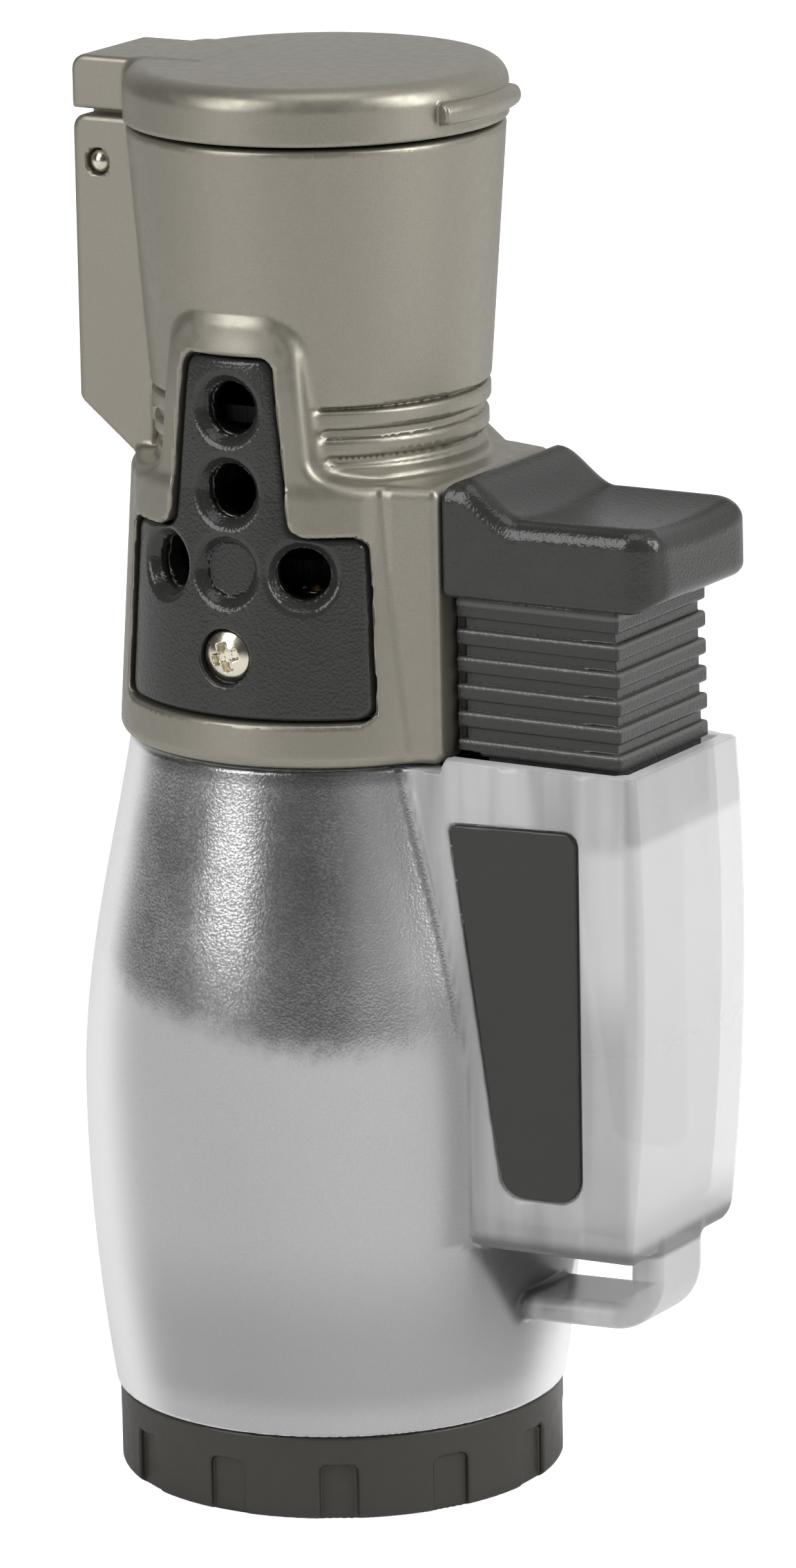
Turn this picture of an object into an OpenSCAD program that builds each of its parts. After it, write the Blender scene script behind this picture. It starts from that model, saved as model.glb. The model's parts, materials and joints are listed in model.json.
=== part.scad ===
// Refillable pocket jet-flame lighter. Z is up from the base dial's underside, the tank's axis is the Z axis,
// the thumb lever and the tank's wing are on +X, the lid's hinge is on -X, and XZ is the mirror plane.

/* [Tank] */
// Radius of the tank at its widest
tank_r = 15.35; // [15.2:0.05:15.5]
// Height of the tank's widest circle
tank_belly_z = 24; // [23:0.5:25]
// Height of the tank's top face
tank_top = 46.4; // [46.3:0.05:46.45]
// Thickness of the tank's wall
tank_wall = 1.3; // [1.2:0.05:1.4]
// Outermost X of the wing
wing_x = 25.3; // [25.2:0.05:25.4]
// Height of the wing's open top
wing_top = 47.1; // [46.9:0.1:47.3]
// Half-width of the wing's cavity
wing_cavity_w = 5.75; // [5.7:0.05:5.8]

/* [Base dial] */
// Outer radius of the dial
dial_r = 13.7; // [13.65:0.05:13.8]
// Height at which the dial meets the tank
dial_top = 5.35; // [5.3:0.05:5.4]
// Number of grip recesses round the dial
dial_grips = 12; // [8:1:16]

/* [Housing] */
// Radius of the housing at its bottom edge
housing_r = 12.65; // [12.6:0.05:12.7]
// Height of the housing's bottom edge
housing_z = 46.6; // [46.55:0.05:46.65]
// X of the flat face that the thumb lever slides on
face_x = 12; // [11.95:0.05:12]
// Height of the cup's rim
rim_z = 83.75; // [83.7:0.05:83.8]
// Half-width of the hinge spine
spine_w = 3.75; // [3.6:0.05:3.9]

/* [Lid] */
// Radius of the lid
lid_r = 11.6; // [11.5:0.05:11.7]
// Height of the lid's underside
lid_z = 84; // [83.98:0.01:84.02]
// Height of the lid's top
total_h = 87.5; // [87:0.1:88]
// X of the hinge pin
hinge_x = -13.27; // [-13.3:0.01:-13.25]
// Height of the hinge pin
hinge_z = 80.8; // [80.78:0.01:80.82]

/* [Thumb lever] */
// Downward travel of the thumb lever
travel = 5; // [4:0.1:5]
// X of the pad's nose
pad_nose = 26.8; // [26:0.1:27]
// Number of ribs on the slider's front
rib_count = 6; // [4:1:6]

/* [Valve] */
// X of the gas lever's pivot
pivot_x = 2.7; // [2.68:0.01:2.72]
// Height of the gas lever's pivot
pivot_z = 52.6; // [52.58:0.01:52.62]
// Radial running clearance of the small sliding parts
run_gap = 0.05; // [0.04:0.01:0.06]

/* [Hidden] */
$fn = 64;
big = 60;                                  // reach of a cut that has to pass right through
black = [0.23, 0.23, 0.23];
gunmetal = [0.48, 0.47, 0.42];
smoke = [0.72, 0.72, 0.72];
dial_grey = [0.24, 0.23, 0.2];
nickel = [0.75, 0.72, 0.65];
brass = [0.78, 0.65, 0.35];
steel = [0.66, 0.67, 0.68];
rubber = [0.12, 0.12, 0.12];

// Outer surface of the tank: a shallow belly below, and a shoulder that draws in towards the housing above.
shoulder_in = 2.1;
shoulder_h = 32;
belly_k = 0.00419;
function tank_outer(z) = z >= tank_belly_z
    ? tank_r - shoulder_in * (1 - cos(180 * (z - tank_belly_z) / shoulder_h))
    : tank_r - belly_k * pow(z - tank_belly_z, 2);
skirt_r = 12.4;
skirt_in = 11.3;
skirt_z = 1.4;
tank_ceiling = tank_top - 1.5;
tank_ledge = dial_top + 1.05;              // top of the ledge that the floor's flange sits on
loop_w = 3;                                // half-width of the lanyard loop
tank_lift = 0.08;                          // gap between the dial's rim and the tank

// Surface of the housing's side and of the raised bezel above it, as a radius for each height.
function face_r(z) = lookup(z, [[housing_z, housing_r], [63, 11.6], [69, 11.42], [71.5, 11.15], [73.6, 10.75]]);
face_steps = [housing_z, 54, 63, 66, 69, 71.5, 73.6];
chamber_r = 9.3;
chamber_z = 61.9;
neck_r = 8.4;
ledge_z = 66.9;
burner_r = 9;
plate_sink = 0.3;
plate_t = 1.2;
plate_gap = 0.18;
screw_z = 53.1;
vent_r = 1.62;
dish_r = 2.2;
dish_depth = 0.7;
face_y = 3;                                // front and rear pieces lie beyond this Y
plate_hole_r = 1;
head_recess_r = 1.72;
head_recess_t = 0.8;
// Height and turn of each air hole in a vent plate
vents = [[68, 0], [63.06, 0], [58.2, 24.4], [58.2, -24.4]];
dimple_z = 58.28;

// Hinge and its cam
pin_r = 0.5;
pin_head_r = 0.75;
pin_head_y = 3;                            // inner end of each of the pin's heads
cam_r = 1.05;
cam_e = 0.3;
cam_turn = -50;
cam_x = hinge_x + cam_e * cos(cam_turn);
cam_z = hinge_z + cam_e * sin(cam_turn);
tongue_w = 2.2;
slot_w = 2.3;
plunger_x = -12.9;
plunger_bore = 1.15;
notch_z = 79.1;
spine_x = -15;                             // back face of the spine and of the lid's hinge block
spring_seat = 68.7;
plunger_z = 75.6;
plunger_nose = 0.4;                        // height of the plunger's tapered end
seal_seat_r = 9.85;                        // seat for the seal disc in the lid's underside
seal_seat_h = 0.8;

// Thumb lever, piezo and gas lever
pad_z = 56.9;
pad_w = 6.7;
nose_w = 6.3;
slider_w = 5.5;
slider_top_x = 23.3;                       // slider's front at its top and at its foot
slider_front = 23.45;
slider_z = 42.9;
rib_pitch = 1.68;
rib_groove = 0.68;
rib_depth = 0.3;
hollow_w = 4.3;
seat_z = 44.4;
piezo_x = [15.4, 21.4];
piezo_w = 3;
piezo_top = 55.2;
plunger_x_range = [16.2, 20.6];
plunger_w = 2.3;
piezo_spring_top = 52.5;
nose_x = 10;
nose_r = 0.6;
lever_t = 1.2;
lever_tip = 11.3;
nose_lift = 1.37;                          // nose centre above the pivot, with the lever level
tongue_arm_w = 1.2;
fork_w = [1.25, 1.75];
hub_r = 1.05;
lever_pin_r = 0.55;
lug_w = [2.2, 3.4];
stem_r = 1.1;
flange_r = 1.9;
flange_z = pivot_z + 0.85;
valve_r = 3;
valve_bore = stem_r + run_gap;
valve_spring_top = 57.4;
manifold_z = 58.5;
manifold_r = 5.5;
nozzle_ring = 3.4;
nozzle_r = 1.5;
electrode_x = 6.4;
electrode_y = 2;
insulator_r = 1;
wire_r = 0.3;                              // ignition wire
wire_bore = 0.36;
fine_wire = 0.15;                          // wire of the lid's and both valves' springs
jet_z = 61.5;                              // top of the manifold, where the jets stand
jet_top = 72;
jet_bore = 0.3;
jet_mouth = 1.1;
deck_z = 48.3;                             // top of the chassis' base disc
arm_z = 47;
arm_w = [2.5, 3.7];
screw_x = -6.8;
screw_y = 3.6;
tap_r = 0.82;                              // bore that a chassis screw cuts its thread in
slot_half = 0.25;                          // cross recess of every screw
slot_deep = 0.45;

// Dial's hub and the refill valve inside it
hub_outer = 4;
fill_r = 2.4;
feed_x = -4.25;
hub_top = 7.6;

// ---- helpers ----

// A corner b between a and c, rounded to radius r with n + 1 points.
function unit(v) = v / norm(v);
function round_corner(a, b, c, r, n) =
    let (u = unit(a - b), v = unit(c - b), half = acos(u * v) / 2)
    let (centre = b + unit(u + v) * r / sin(half), reach = r / tan(half))
    let (p = b + u * reach - centre, q = b + v * reach - centre)
    let (start = atan2(p.y, p.x), turn = atan2(p.x * q.y - p.y * q.x, p * q))
    [for (i = [0:n]) centre + r * [cos(start + turn * i / n), sin(start + turn * i / n)]];
// An outline from [x, y, corner radius] points.
function rounded(pts, n = 5) = [for (i = [0:len(pts) - 1])
    let (a = pts[(i + len(pts) - 1) % len(pts)], b = pts[i], c = pts[(i + 1) % len(pts)])
    each (b[2] > 0 ? round_corner([a[0], a[1]], [b[0], b[1]], [c[0], c[1]], b[2], n) : [[b[0], b[1]]])];
// Both halves of an outline given by its +X half, from top to bottom.
function mirrored(half) = concat(half, [for (i = [len(half) - 1:-1:0]) [-half[i][0], half[i][1], half[i][2]]]);

// An XZ outline carried along Y from y0 to y1.
module along_y(y0, y1) translate([0, y1, 0]) rotate([90, 0, 0]) linear_extrude(y1 - y0) children();
// A plan outline carried up from z0 to z1.
module along_z(z0, z1) translate([0, 0, z0]) linear_extrude(z1 - z0) children();
module block(x, y, z) translate([x[0], y[0], z[0]]) cube([x[1] - x[0], y[1] - y[0], z[1] - z[0]]);
module slab(x, w, z) block(x, [-w, w], z);
module pair_y() { children(); mirror([0, 1, 0]) children(); }
module rod(r, z0, z1, x = 0, y = 0) translate([x, y, z0]) cylinder(r = r, h = z1 - z0);
module ring(r_out, r_in, z0, z1) difference() { rod(r_out, z0, z1); rod(r_in, z0 - 1, z1 + 1); }
module cross_rod(r, y0, y1, x, z) translate([x, y1, z]) rotate([90, 0, 0]) cylinder(r = r, h = y1 - y0);
module revolve(pts) rotate_extrude($fn = 96) polygon(pts);
// A cutter or pin that points outwards along -Y, turned by a, with its foot at radius r0.
module radial(z, a, r0) rotate([0, 0, a]) translate([0, -r0, z]) rotate([90, 0, 0]) children();
// A coil spring of round wire, as a swept hexagon.
module coil(r, wire_r, z0, z1, turns, x = 0) {
    per_turn = 14;
    steps = turns * per_turn;
    pts = [for (i = [0:steps]) for (j = [0:5])
        let (a = 360 * i / per_turn, b = 60 * j, q = r + wire_r * cos(b))
        [q * cos(a), q * sin(a), wire_r + (z1 - z0 - 2 * wire_r) * i / steps + wire_r * sin(b)]];
    sides = [for (i = [0:steps - 1]) for (j = [0:5])
        let (k = (j + 1) % 6) [i * 6 + j, (i + 1) * 6 + j, (i + 1) * 6 + k, i * 6 + k]];
    caps = [[for (j = [0:5]) j], [for (j = [5:-1:0]) steps * 6 + j]];
    translate([x, 0, z0]) polyhedron(pts, concat(sides, caps));
}

// ---- housing ----

bezel_half = [[4.35, 73.5, 2.6], [5.2, 64.4, 1.5], [8.2, 63.2, 0], [8.2, 58, 0]];
function plate_half(g) = [[2.85 + g, 71.1 + g, 0.9], [3.95 + g, 60.4 + g, 1.2],
    [7.95 + g, 60.4 + g, 0.9], [8.5 + g, 49.5 - g, 0.9]];
// The solid inside the housing's side surface, moved in by d.
module face_body(d) revolve(concat([for (z = face_steps) [face_r(z) - d, z]], [[0, 73.6], [0, housing_z]]));

module vent_holes(depth) {
    for (v = vents) radial(v[0], v[1], face_r(v[0]) - depth) cylinder(r = vent_r, h = depth + 1);
}

module housing_shell() {
    edge = 0.9;
    // lower body: cone, flat front box and rounded lower edge
    intersection() {
        union() {
            revolve([[0, housing_z], [housing_r - edge, housing_z], [housing_r - 0.25, housing_z + 0.25],
                [face_r(housing_z + edge), housing_z + edge], [11.62, 62.9], [11.45, 63.4], [10.95, 63.7],
                [0, 63.7]]);
            along_z(housing_z, 63.4) polygon([[0, 7.7], [9.2, 7.75], [face_x, 6.9],
                [face_x, -6.9], [9.2, -7.75], [0, -7.7]]);
        }
        slab([-big, face_x], big, [housing_z, big * 2]);
    }
    // neck with its three rings, and the cup above
    revolve([[0, 63], [10.4, 63.6], [9.95, 63.85], [9.95, 64.6], [9.7, 64.75], [9.7, 64.95], [10.08, 65.1],
        [10.08, 66.2], [9.75, 66.35], [9.75, 66.65], [10.2, 66.8], [10.2, 67.9], [9.9, 68.05], [10.25, 68.3],
        [10.56, 71.2], [10.77, 75.2], [11.1, 79.1], [11.4, 83.5], [11.3, rim_z], [0, rim_z]]);
    // raised bezels front and rear
    pair_y() intersection() {
        along_y(-big, -face_y) polygon(rounded(mirrored(bezel_half)));
        face_body(0);
    }
    // hinge spine
    along_y(-spine_w, spine_w) polygon(rounded([[spine_x, 66.1, 0.6], [spine_x, 83.65, 0.9], [-9.6, 83.65, 0],
        [-9.6, 63.2, 0], [-10.97, 63.1, 0.4]], 4));
}

module housing() color(gunmetal) difference() {
    housing_shell();
    // chamber, neck bore and cup
    revolve([[0, housing_z - 1], [chamber_r, housing_z - 1], [chamber_r, chamber_z], [neck_r, chamber_z],
        [neck_r, ledge_z], [9.2, ledge_z], [9.3, 72], [10.35, rim_z - 0.3], [10.5, rim_z + 1], [0, rim_z + 1]]);
    // pockets and holes behind the vent plates
    pair_y() {
        difference() {
            along_y(-big, -face_y) polygon(rounded(mirrored(plate_half(plate_gap))));
            face_body(plate_sink + plate_t + 0.02);
        }
        vent_holes(4);
        radial(screw_z, 0, 8) cylinder(r = plate_hole_r, h = 5);
    }
    // window that the lever's tongue and the chassis' arms pass through
    slab([7, big], 4.2, [housing_z - 1, 57.3]);
    // hinge: tongue slot, pin bore and heads, plunger bore
    slab([-big, -11.75], slot_w, [notch_z, big * 2]);
    cross_rod(pin_r + 0.02, -big, big, hinge_x, hinge_z);
    pair_y() cross_rod(pin_head_r + 0.08, -big, -pin_head_y, hinge_x, hinge_z);
    rod(plunger_bore, spring_seat, notch_z + 1, plunger_x);
}

module vent_plate() difference() {
    intersection() {
        along_y(-big, -face_y) polygon(rounded(mirrored(plate_half(0))));
        difference() {
            face_body(plate_sink);
            face_body(plate_sink + plate_t);
        }
    }
    vent_holes(3);
    for (v = concat(vents, [[dimple_z, 0]])) {
        radial(v[0], v[1], face_r(v[0]) - plate_sink - dish_depth)
            cylinder(r1 = vent_r, r2 = vent_r + 3 * (dish_r - vent_r), h = 3 * dish_depth);
    }
    radial(screw_z, 0, face_r(screw_z) - plate_sink - head_recess_t)
        cylinder(r = head_recess_r, h = 3);
    radial(screw_z, 0, 8) cylinder(r = plate_hole_r, h = 5);
}
module front_vent_plate() color(black) vent_plate();
module rear_vent_plate() color(black) mirror([0, 1, 0]) vent_plate();

// A cross-head screw along +Z, head at the top, its head's underside at the origin.
module cross_screw(shank_r, shank_l, head_r, head_h) difference() {
    union() {
        translate([0, 0, -shank_l]) cylinder(r = shank_r, h = shank_l + 0.1);
        cylinder(r1 = head_r, r2 = head_r * 0.86, h = head_h);
    }
    for (a = [0, 90]) rotate([0, 0, a])
        slab([-head_r * 0.6, head_r * 0.6], slot_half, [head_h - slot_deep, head_h + 1]);
}
module plate_screws() color(nickel) {
    seat = face_r(screw_z) - plate_sink - head_recess_t;
    pair_y() radial(screw_z, 0, seat) cross_screw(0.9, seat - 6.7, 1.6, 0.7);
}
module chassis_screws() color(steel) {
    for (y = [-screw_y, screw_y]) translate([screw_x, y, deck_z]) cross_screw(0.8, 5, 1.5, 1);
}

// ---- lid ----

module hinge_pin() color(nickel) {
    cross_rod(pin_r, -spine_w, spine_w, hinge_x, hinge_z);
    pair_y() cross_rod(pin_head_r, pin_head_y + 0.02, spine_w, hinge_x, hinge_z);
}

module lid() color(gunmetal) difference() {
    union() {
        revolve([[0, lid_z], [lid_r - 0.1, lid_z], [lid_r, lid_z + 0.15], [lid_r, 86.1],
            for (a = [15:15:90]) [lid_r - 1.4 + 1.4 * cos(a), 86.1 + (total_h - 86.1) * sin(a)], [0, total_h]]);
        // thumb tab
        rotate([0, 0, -21]) rotate_extrude(angle = 42)
            polygon([[11, 84.2], [11.9, 84.35], [12.5, 85.3], [12.5, 85.7], [11.8, 86.5], [11, 86.6]]);
        // hinge block and cam tongue
        along_y(-spine_w, spine_w) polygon(rounded([[spine_x, lid_z, 0], [spine_x, 87.3, 0.9],
            [-9, 87.3, 0], [-9, lid_z, 0]], 4));
        along_y(-tongue_w, tongue_w) polygon([[-14.5, lid_z + 0.5], [-14.5, hinge_z + 1.8],
            [hinge_x - 0.62, hinge_z + 0.95], [hinge_x - 0.62, cam_z], [cam_x + cam_r, cam_z],
            [-12.2, hinge_z + 1.8], [-12.2, lid_z + 0.5]]);
        cross_rod(cam_r, -tongue_w, tongue_w, cam_x, cam_z);
    }
    rod(seal_seat_r, lid_z - 1, lid_z + seal_seat_h);
    cross_rod(pin_r + run_gap, -big, big, hinge_x, hinge_z);
}

module lid_seal() color(rubber) revolve([[0, lid_z - 0.6], [seal_seat_r - 0.55, lid_z - 0.6],
    [seal_seat_r - 0.05, lid_z - 0.2], [seal_seat_r - 0.05, lid_z + seal_seat_h - 0.02],
    [0, lid_z + seal_seat_h - 0.02]]);

module lid_plunger() color(steel) {
    tip = cam_z - cam_r - run_gap;
    rod(plunger_bore - run_gap, plunger_z, tip - plunger_nose, plunger_x);
    translate([plunger_x, 0, tip - plunger_nose])
        cylinder(r1 = plunger_bore - run_gap, r2 = 0.5, h = plunger_nose);
}
module lid_spring() color(steel) coil(0.75, fine_wire, spring_seat, plunger_z, 9, plunger_x);

// ---- tank ----

module wing_plan(w0, w1, x1)
    polygon([[0, w0 + 0.55], [9.4, w0], [x1, w1], [x1, -w1], [9.4, -w0], [0, -w0 - 0.55]]);
module wing_side() polygon(rounded([[0, 16.8, 0], [24.3, 16.8, 1.2], [25.1, 24.5, 0],
    [wing_x, 32, 0], [wing_x, 38.5, 0], [25.15, 42.6, 0], [24.8, wing_top, 0], [12.15, wing_top, 0],
    [12.15, tank_top, 0], [0, tank_top, 0]]));
module wing_cavity_side() polygon(rounded([[0, 18.3, 0], [23.3, 18.3, 0.8], [24.1, 24.5, 0],
    [24.25, 32, 0], [24.25, 50, 0], [0, 50, 0]]));
module loop_side() difference() {
    polygon(rounded([[10, 11.1, 0], [24.15, 11.7, 3.5], [24.2, 17.5, 0], [10, 17.5, 0]]));
    polygon(rounded([[10, 12.8, 0], [22, 13.3, 1.2], [22.1, 16.9, 0], [10, 16.9, 0]]));
}
tank_steps = [for (i = [0:14]) dial_top + (tank_top - dial_top) * i / 14];
module tank_outer_body()
    revolve(concat([for (z = tank_steps) [tank_outer(z), z]], [[0, tank_top], [0, dial_top]]));
module badge_outline(g) polygon(rounded([[12.6 + g, 43.2 - g, 0.8], [21 - g, 43.4 - g, 0.8],
    [21 - g, 20.5 + g, 1.5], [15.9 + g, 20.5 + g, 1.5]]));
// A slice of the wing's slanted front face between depths d0 and d1.
module wing_face(d0, d1) along_z(10, 50) polygon([[9.4, -7.5 + d0], [24.8, -6.6 + d0],
    [24.8, -6.6 + d1], [9.4, -7.5 + d1]]);

module tank_body() color(smoke) difference() {
    union() {
        difference() {
            intersection() {
                along_z(10, 50) wing_plan(7.5, 6.55, 25.6);
                along_y(-big, big) wing_side();
            }
            intersection() {
                along_z(10, 60) wing_plan(wing_cavity_w, wing_cavity_w - 0.1, 25);
                along_y(-big, big) wing_cavity_side();
            }
        }
        tank_outer_body();
        along_y(-loop_w, loop_w) loop_side();
        rod(skirt_r, skirt_z, dial_top + 1);
    }
    // gas space, skirt bore and the fittings' holes
    revolve(concat([[0, tank_ledge], [tank_outer(tank_ledge) - tank_wall, tank_ledge]],
        [for (z = tank_steps) if (z > tank_ledge && z < tank_ceiling) [tank_outer(z) - tank_wall, z]],
        [[tank_outer(tank_ceiling) - tank_wall, tank_ceiling], [0, tank_ceiling]]));
    rod(skirt_in, skirt_z - 1, tank_ledge + 0.5);
    rod(valve_r + 0.02, tank_ceiling - 1, tank_top + 1);
    for (y = [-screw_y, screw_y]) rod(tap_r, tank_ceiling - 1, tank_top + 1, screw_x, y);
    pair_y() intersection() {
        wing_face(-1, 0.4);
        along_y(-big, 0) badge_outline(-0.1);
    }
}

module tank_floor() color(smoke) difference() {
    union() {
        rod(skirt_in - 0.03, 3.9, tank_ledge + 0.5);
        rod(12.5, tank_ledge + 0.01, hub_top - 0.2);
    }
    rod(hub_outer + 0.08, 0, 10);
}

module badge() intersection() {
    wing_face(0.05, 0.38);
    along_y(-big, 0) badge_outline(0);
}
module front_badge() color(dial_grey) badge();
module rear_badge() color(dial_grey) mirror([0, 1, 0]) badge();

// ---- base dial and refill valve ----

module adjuster_dial() color(dial_grey) difference() {
    union() {
        difference() {
            revolve([[0, 0], [dial_r - 0.5, 0], [dial_r - 0.15, 0.15], [dial_r, 0.5],
                [dial_r, dial_top - tank_lift], [0, dial_top - tank_lift]]);
            rod(skirt_r + 0.08, 1.2, 10);
        }
        rod(hub_outer, 1, hub_top);
    }
    rod(fill_r + 0.02, -1, 10);
    for (i = [0:dial_grips - 1]) rotate([0, 0, i * 360 / dial_grips - 90]) translate([dial_r - 0.35, 0, 0])
        rotate([90, 0, 90]) linear_extrude(2) polygon(rounded([[-1.175, -1, 0], [-1.175, 3.5, 0.5],
            [1.175, 3.5, 0.5], [1.175, -1, 0]], 3));
    // groove for the seal ring
    difference() {
        rod(hub_outer + 1, 4.18, 5.02);
        rod(3.2, 4, 6);
    }
}
module dial_seal() color(rubber) rotate_extrude() translate([3.63, 4.6]) circle(r = 0.41, $fn = 24);

module regulator_sleeve() color(brass) revolve([[2.6, hub_top + 0.01], [3.5, hub_top + 0.01], [3.5, 9.6],
    [1.9, 11.2], [1.9, 37.8], [1.2, 37.8], [1.2, 10.8], [2.6, 9.4]]);
module metering_screw() color(brass) {
    rod(1.15, 37.8, 41.2);
    rod(1.9, 37.8, 38.8);
}

module fill_valve_body() color(brass) revolve([[0.85, 0.6], [fill_r, 0.6], [fill_r, 8.4], [0.5, 8.4], [0.5, 8],
    [1.5, 8], [1.5, 3], [0.85, 3]]);
module fill_valve_stem() color(brass) {
    rod(0.8, 0.7, 3.5);
    rod(1.4, 3.1, 3.9);
}
module fill_valve_spring() color(steel) coil(1.1, fine_wire, 3.92, 7.98, 5);

// ---- thumb lever and piezo ----

module thumb_pad() color(black) difference() {
    intersection() {
        along_z(pad_z, 65) polygon(rounded([[face_x + 0.05, -pad_w, 0.4], [pad_nose, -nose_w, 2.2],
            [pad_nose, nose_w, 2.2], [face_x + 0.05, pad_w, 0.4]]));
        along_y(-big, big) polygon(rounded([[face_x, pad_z, 0], [face_x, 64, 0.3], [14.2, 64, 1],
            [16.3, 61.7, 1.6], [24.4, 61.8, 1.2], [26.2, 59.6, 2], [pad_nose, pad_z, 0]]));
    }
    slab([15, 21.8], 3.4, [pad_z - 1, 60.6]);
}

module ribbed_slider() color(black) difference() {
    union() {
        along_y(-slider_w, slider_w) polygon([[12.9, 47.4], [12.9, pad_z - 0.02], [slider_top_x, pad_z - 0.02],
            [slider_front, 47.2], [slider_front, slider_z], [13.85, slider_z], [13.85, 47.4]]);
        // flange that covers the housing's window
        slab([12.12, 13], 5, [53.5, pad_z - 0.02]);
        pair_y() block([12.12, 13], [hollow_w, 5], [47.6, pad_z - 0.02]);
        // tongue that reaches through the window to the gas lever
        slab([nose_x, 14.9], tongue_arm_w, [pivot_z + nose_lift - 0.2, pad_z - 0.02]);
        cross_rod(nose_r, -tongue_arm_w, tongue_arm_w, nose_x, pivot_z + nose_lift);
    }
    // hollow round the piezo, open below and to the rear
    difference() {
        slab([12.8, 22], hollow_w, [slider_z - 1, 55.7]);
        slab([9, 14.9], tongue_arm_w, [50, 60]);
    }
    slab([15, 21.8], 3.3, [50, 60]);
    // grooves between the ribs, round the front and both sides
    for (i = [0:rib_count - 1]) {
        z = pad_z - 1.4 - i * rib_pitch - rib_groove;
        slab([slider_top_x - rib_depth + i * 0.02, 30], big, [z, z + rib_groove]);
        pair_y() block([13, 30], [slider_w - rib_depth, big], [z, z + rib_groove]);
    }
}

module piezo_body() color(black) difference() {
    slab(piezo_x, piezo_w, [seat_z, piezo_top]);
    slab([plunger_x_range[0] - 0.1, plunger_x_range[1] + 0.1], plunger_w + 0.1, [seat_z + 0.5, 60]);
}
module piezo_plunger() color(dial_grey) slab(plunger_x_range, plunger_w, [piezo_spring_top, 60.58]);
module piezo_spring() color(steel) coil(1.8, 0.22, seat_z + 0.52, piezo_spring_top, 4,
    (plunger_x_range[0] + plunger_x_range[1]) / 2);

// High-tension lead from the piezo, under the lever's nose and up the chamber to the electrode.
module ignition_wire() color(rubber) {
    y = electrode_y;
    path = [[piezo_x[0] - 0.32, y, seat_z + 0.7], [14.75, y, 45.6], [14.75, y, 47.5], [8.35, y, 47.5],
        [8.35, y, 60.2], [electrode_x, y, 61.2], [electrode_x, y, 61.95 - 0.3]];
    for (i = [0:len(path) - 2]) hull() {
        translate(path[i]) sphere(r = wire_r, $fn = 12);
        translate(path[i + 1]) sphere(r = wire_r, $fn = 12);
    }
}

// ---- chassis, gas lever and valve ----

module chassis() color(steel) difference() {
    union() {
        rod(9.2, tank_top, deck_z);
        // arms out through the window to the piezo's seat
        pair_y() block([6, 15.2], arm_w, [arm_z, deck_z]);
        pair_y() block([14.2, 15.2], arm_w, [seat_z - 1.2, deck_z]);
        slab([14.2, 21.6], arm_w[1], [seat_z - 1.2, seat_z - 0.01]);
        // lugs for the gas lever's pin
        pair_y() block([1.2, 4.2], lug_w, [deck_z - 0.1, 54]);
        // posts for the vent plates' screws
        pair_y() block([-1.8, 1.8], [6.2, 8.8], [deck_z - 0.1, manifold_z - 1]);
        pair_y() block([-5.6, -3.6], [4.2, 6.2], [deck_z - 0.1, manifold_z - 1]);
        ring(8.0, 2.6, manifold_z - 1.5, manifold_z - 0.01);
    }
    rod(valve_r + 0.02, tank_top - 1, 52);
    slab([5.2, 11.6], 2.4, [tank_top - 1, 50]);
    slab([6.9, 9], 2.9, [manifold_z - 3, manifold_z + 1]);
    for (y = [-screw_y, screw_y]) rod(tap_r, tank_top - 1, deck_z + 1, screw_x, y);
    cross_rod(lever_pin_r + 0.01, -big / 12, big / 12, pivot_x, pivot_z);
    pair_y() cross_rod(0.92, -big, -6.5, 0, screw_z);
}

module gas_lever() color(steel) difference() {
    union() {
        slab([pivot_x + 0.5, lever_tip], tongue_arm_w, [pivot_z - lever_t / 2, pivot_z + lever_t / 2]);
        cross_rod(hub_r, -fork_w[1], fork_w[1], pivot_x, pivot_z);
        pair_y() {
            block([-0.2, pivot_x], fork_w, [pivot_z - 0.5, pivot_z + 0.4]);
            cross_rod(0.5, fork_w[0], fork_w[1], 0, pivot_z + 0.3);
        }
    }
    cross_rod(lever_pin_r + run_gap, -big, big, pivot_x, pivot_z);
}
module lever_pin() color(nickel) cross_rod(lever_pin_r, -lug_w[1], lug_w[1], pivot_x, pivot_z);

module valve_body() color(brass) revolve([[1.2, 39.6], [valve_r, 39.6], [valve_r, 43], [5, 43],
    [5, tank_ceiling - 0.02], [valve_r, tank_ceiling - 0.02], [valve_r, 50.2], [valve_bore, 50.2], [valve_bore, 45.2], [1.9, 45.2],
    [1.9, 41.4], [1.2, 41.4]]);
module valve_stem() color(brass) revolve([[0, 42.2], [1.6, 42.2], [1.6, 43.2], [stem_r, 43.2],
    [stem_r, flange_z], [flange_r, flange_z], [flange_r, flange_z + 0.75], [stem_r, flange_z + 0.75], [stem_r, 58.4], [0, 58.4]]);
module valve_seal() color(rubber) rod(1.6, 41.45, 42.19);
module valve_spring() color(steel) coil(1.5, fine_wire, flange_z + 0.77, valve_spring_top, 4);
module feed_tube() color(smoke) difference() {
    rod(0.6, 9, 42.95, feed_x);
    rod(0.35, 8, 42, feed_x);
}

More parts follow.
